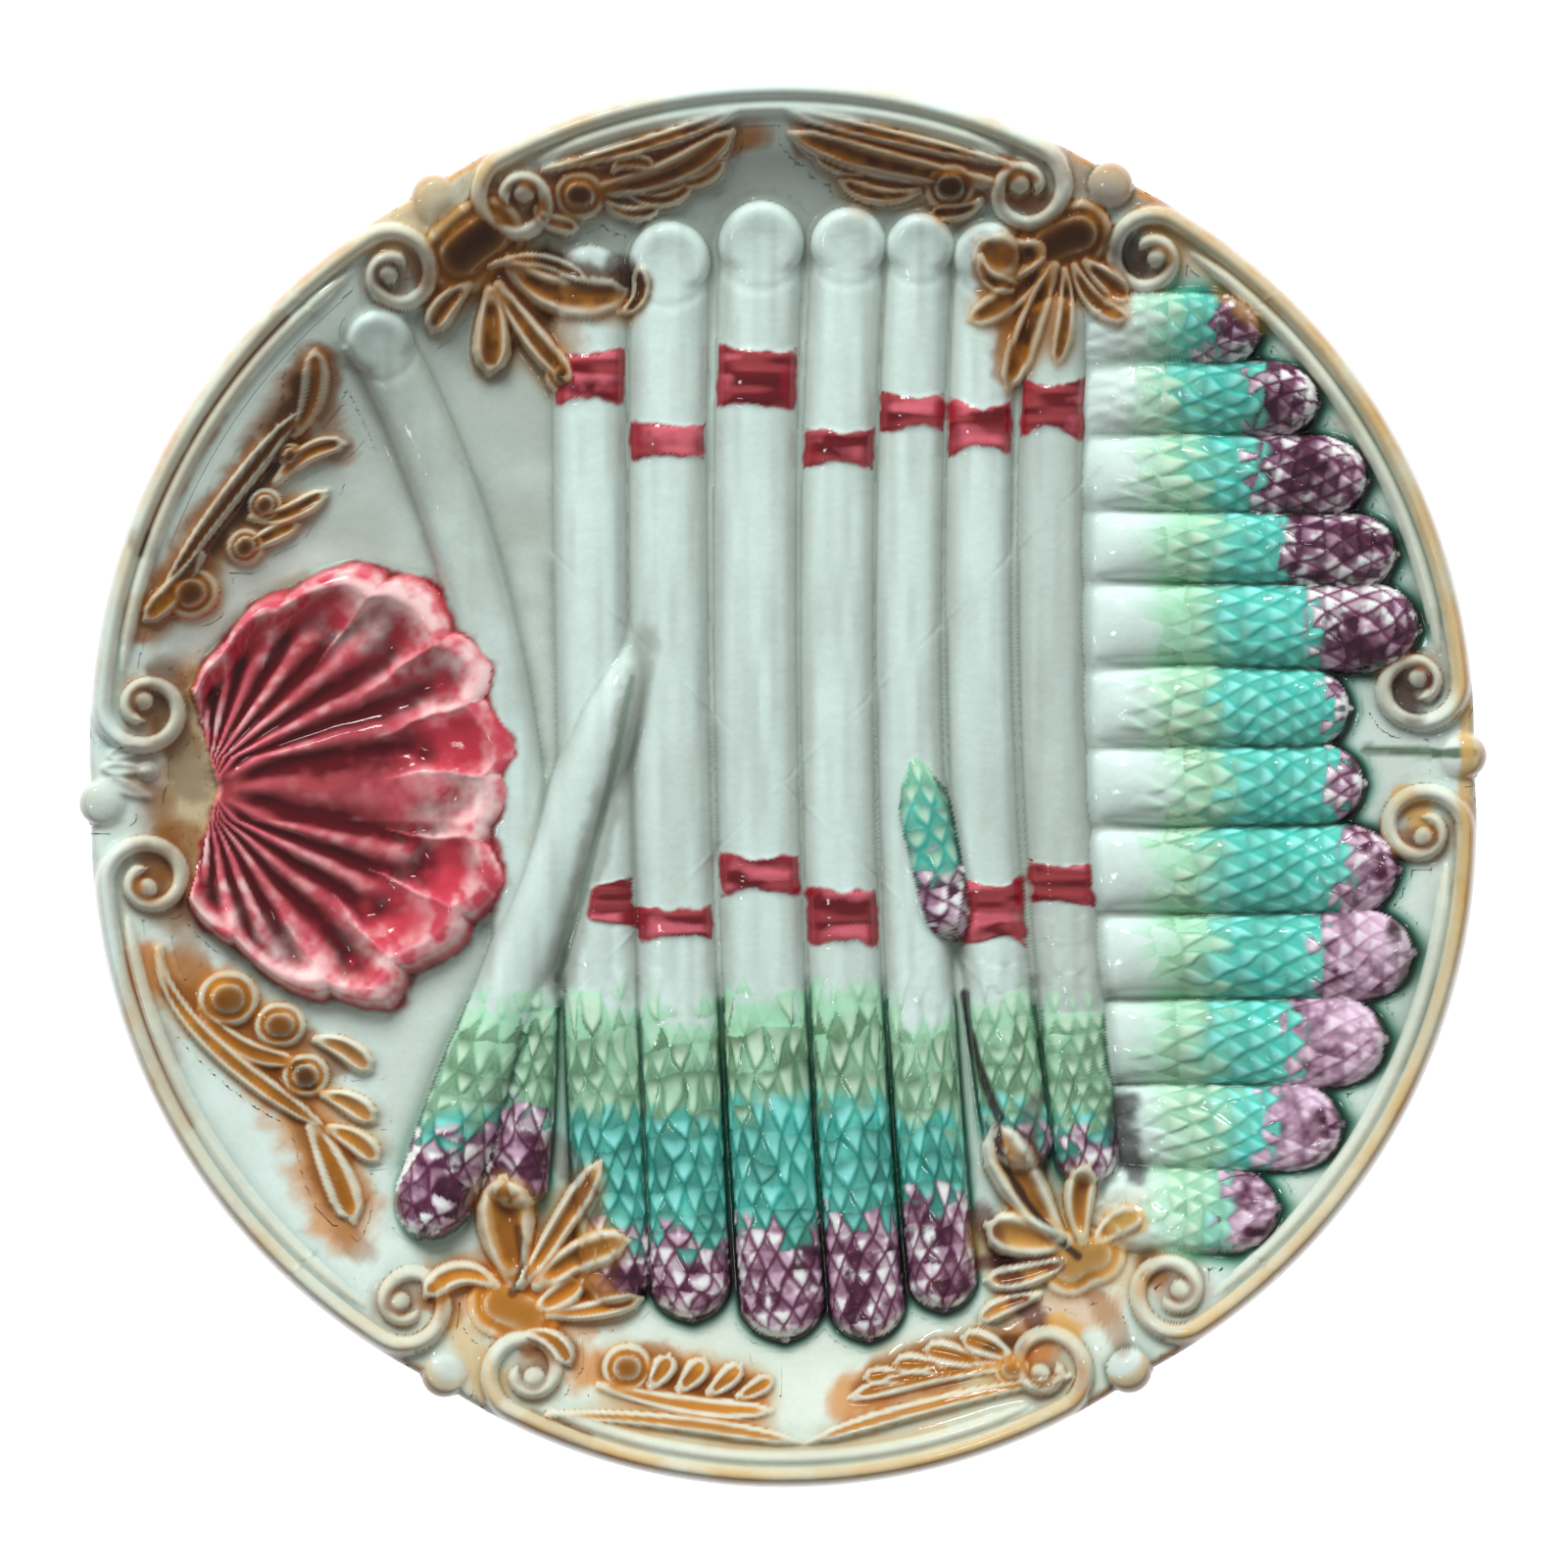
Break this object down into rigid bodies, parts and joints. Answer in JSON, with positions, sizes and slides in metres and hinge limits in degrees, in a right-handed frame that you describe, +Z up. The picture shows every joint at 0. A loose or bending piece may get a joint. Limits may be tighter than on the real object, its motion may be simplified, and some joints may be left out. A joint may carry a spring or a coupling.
{
  "type": "asparagus plate",
  "caption": "Round glazed plate with six shallow lobes: asparagus spears in relief over the well, a fan shell for sauce at one side, scrolls along the rim and a foot ring below.",
  "frame": {"origin": "centre of the bounding box at its bottom, on the plane that the foot ring stands on", "axes": "+Z up out of the plate; seen from above, +X to the right, where the row of side spears points, and +Y to the top, where the long spears are cut off"},
  "size_m": [0.2448, 0.245, 0.0252],
  "materials": {
    "body_glaze": "glossy tin-white glaze with a faint green tinge",
    "foot_clay": "glazed sides, bare pale clay on the face it rests on",
    "scroll_glaze": "glossy tan and orange-brown glaze pooled in the grooves",
    "knob_glaze": "glossy pearl-grey glaze",
    "spear_glaze": "glossy pale green-white glaze that turns olive and turquoise",
    "tip_glaze": "glossy turquoise glaze that runs into purple at the tip",
    "tie_glaze": "glossy crimson glaze",
    "shell_glaze": "glossy crimson glaze, white on the ruffle",
    "leaf_glaze": "glossy brown glaze, white on the ridges"
  },
  "bodies": {
    "root": {"plate_body": "body_glaze", "foot_ring": "foot_clay", "rim_scroll_north": "scroll_glaze", "rim_scroll_north_west": "scroll_glaze", "rim_scroll_south_west": "scroll_glaze", "rim_scroll_south": "scroll_glaze", "rim_scroll_south_east": "scroll_glaze", "rim_scroll_north_east": "scroll_glaze", "rim_knob_east": "knob_glaze", "rim_knob_north_east": "knob_glaze", "rim_knob_north_west": "knob_glaze", "rim_knob_west": "knob_glaze", "rim_knob_south_west": "knob_glaze", "rim_knob_south_east": "knob_glaze", "spear_1": "spear_glaze", "spear_2": "spear_glaze", "spear_3": "spear_glaze", "spear_4": "spear_glaze", "spear_5": "spear_glaze", "spear_6": "spear_glaze", "spear_7": "spear_glaze", "slanting_spear": "spear_glaze", "crossing_spear": "spear_glaze", "loose_tip": "tip_glaze", "upper_tie": "tie_glaze", "lower_tie": "tie_glaze", "side_spear_1": "tip_glaze", "side_spear_2": "tip_glaze", "side_spear_3": "tip_glaze", "side_spear_4": "tip_glaze", "side_spear_5": "tip_glaze", "side_spear_6": "tip_glaze", "side_spear_7": "tip_glaze", "side_spear_8": "tip_glaze", "side_spear_9": "tip_glaze", "side_spear_10": "tip_glaze", "side_spear_11": "tip_glaze", "side_spear_12": "tip_glaze", "sauce_shell": "shell_glaze", "palmette_north_west": "leaf_glaze", "palmette_north_east": "leaf_glaze", "palmette_south_west": "leaf_glaze", "palmette_south_east": "leaf_glaze", "spray_north_left": "leaf_glaze", "spray_north_right": "leaf_glaze", "spray_north_west": "leaf_glaze", "spray_south_west": "leaf_glaze", "spray_south_left": "leaf_glaze", "spray_south_right": "leaf_glaze"}
  },
  "joints": []
}
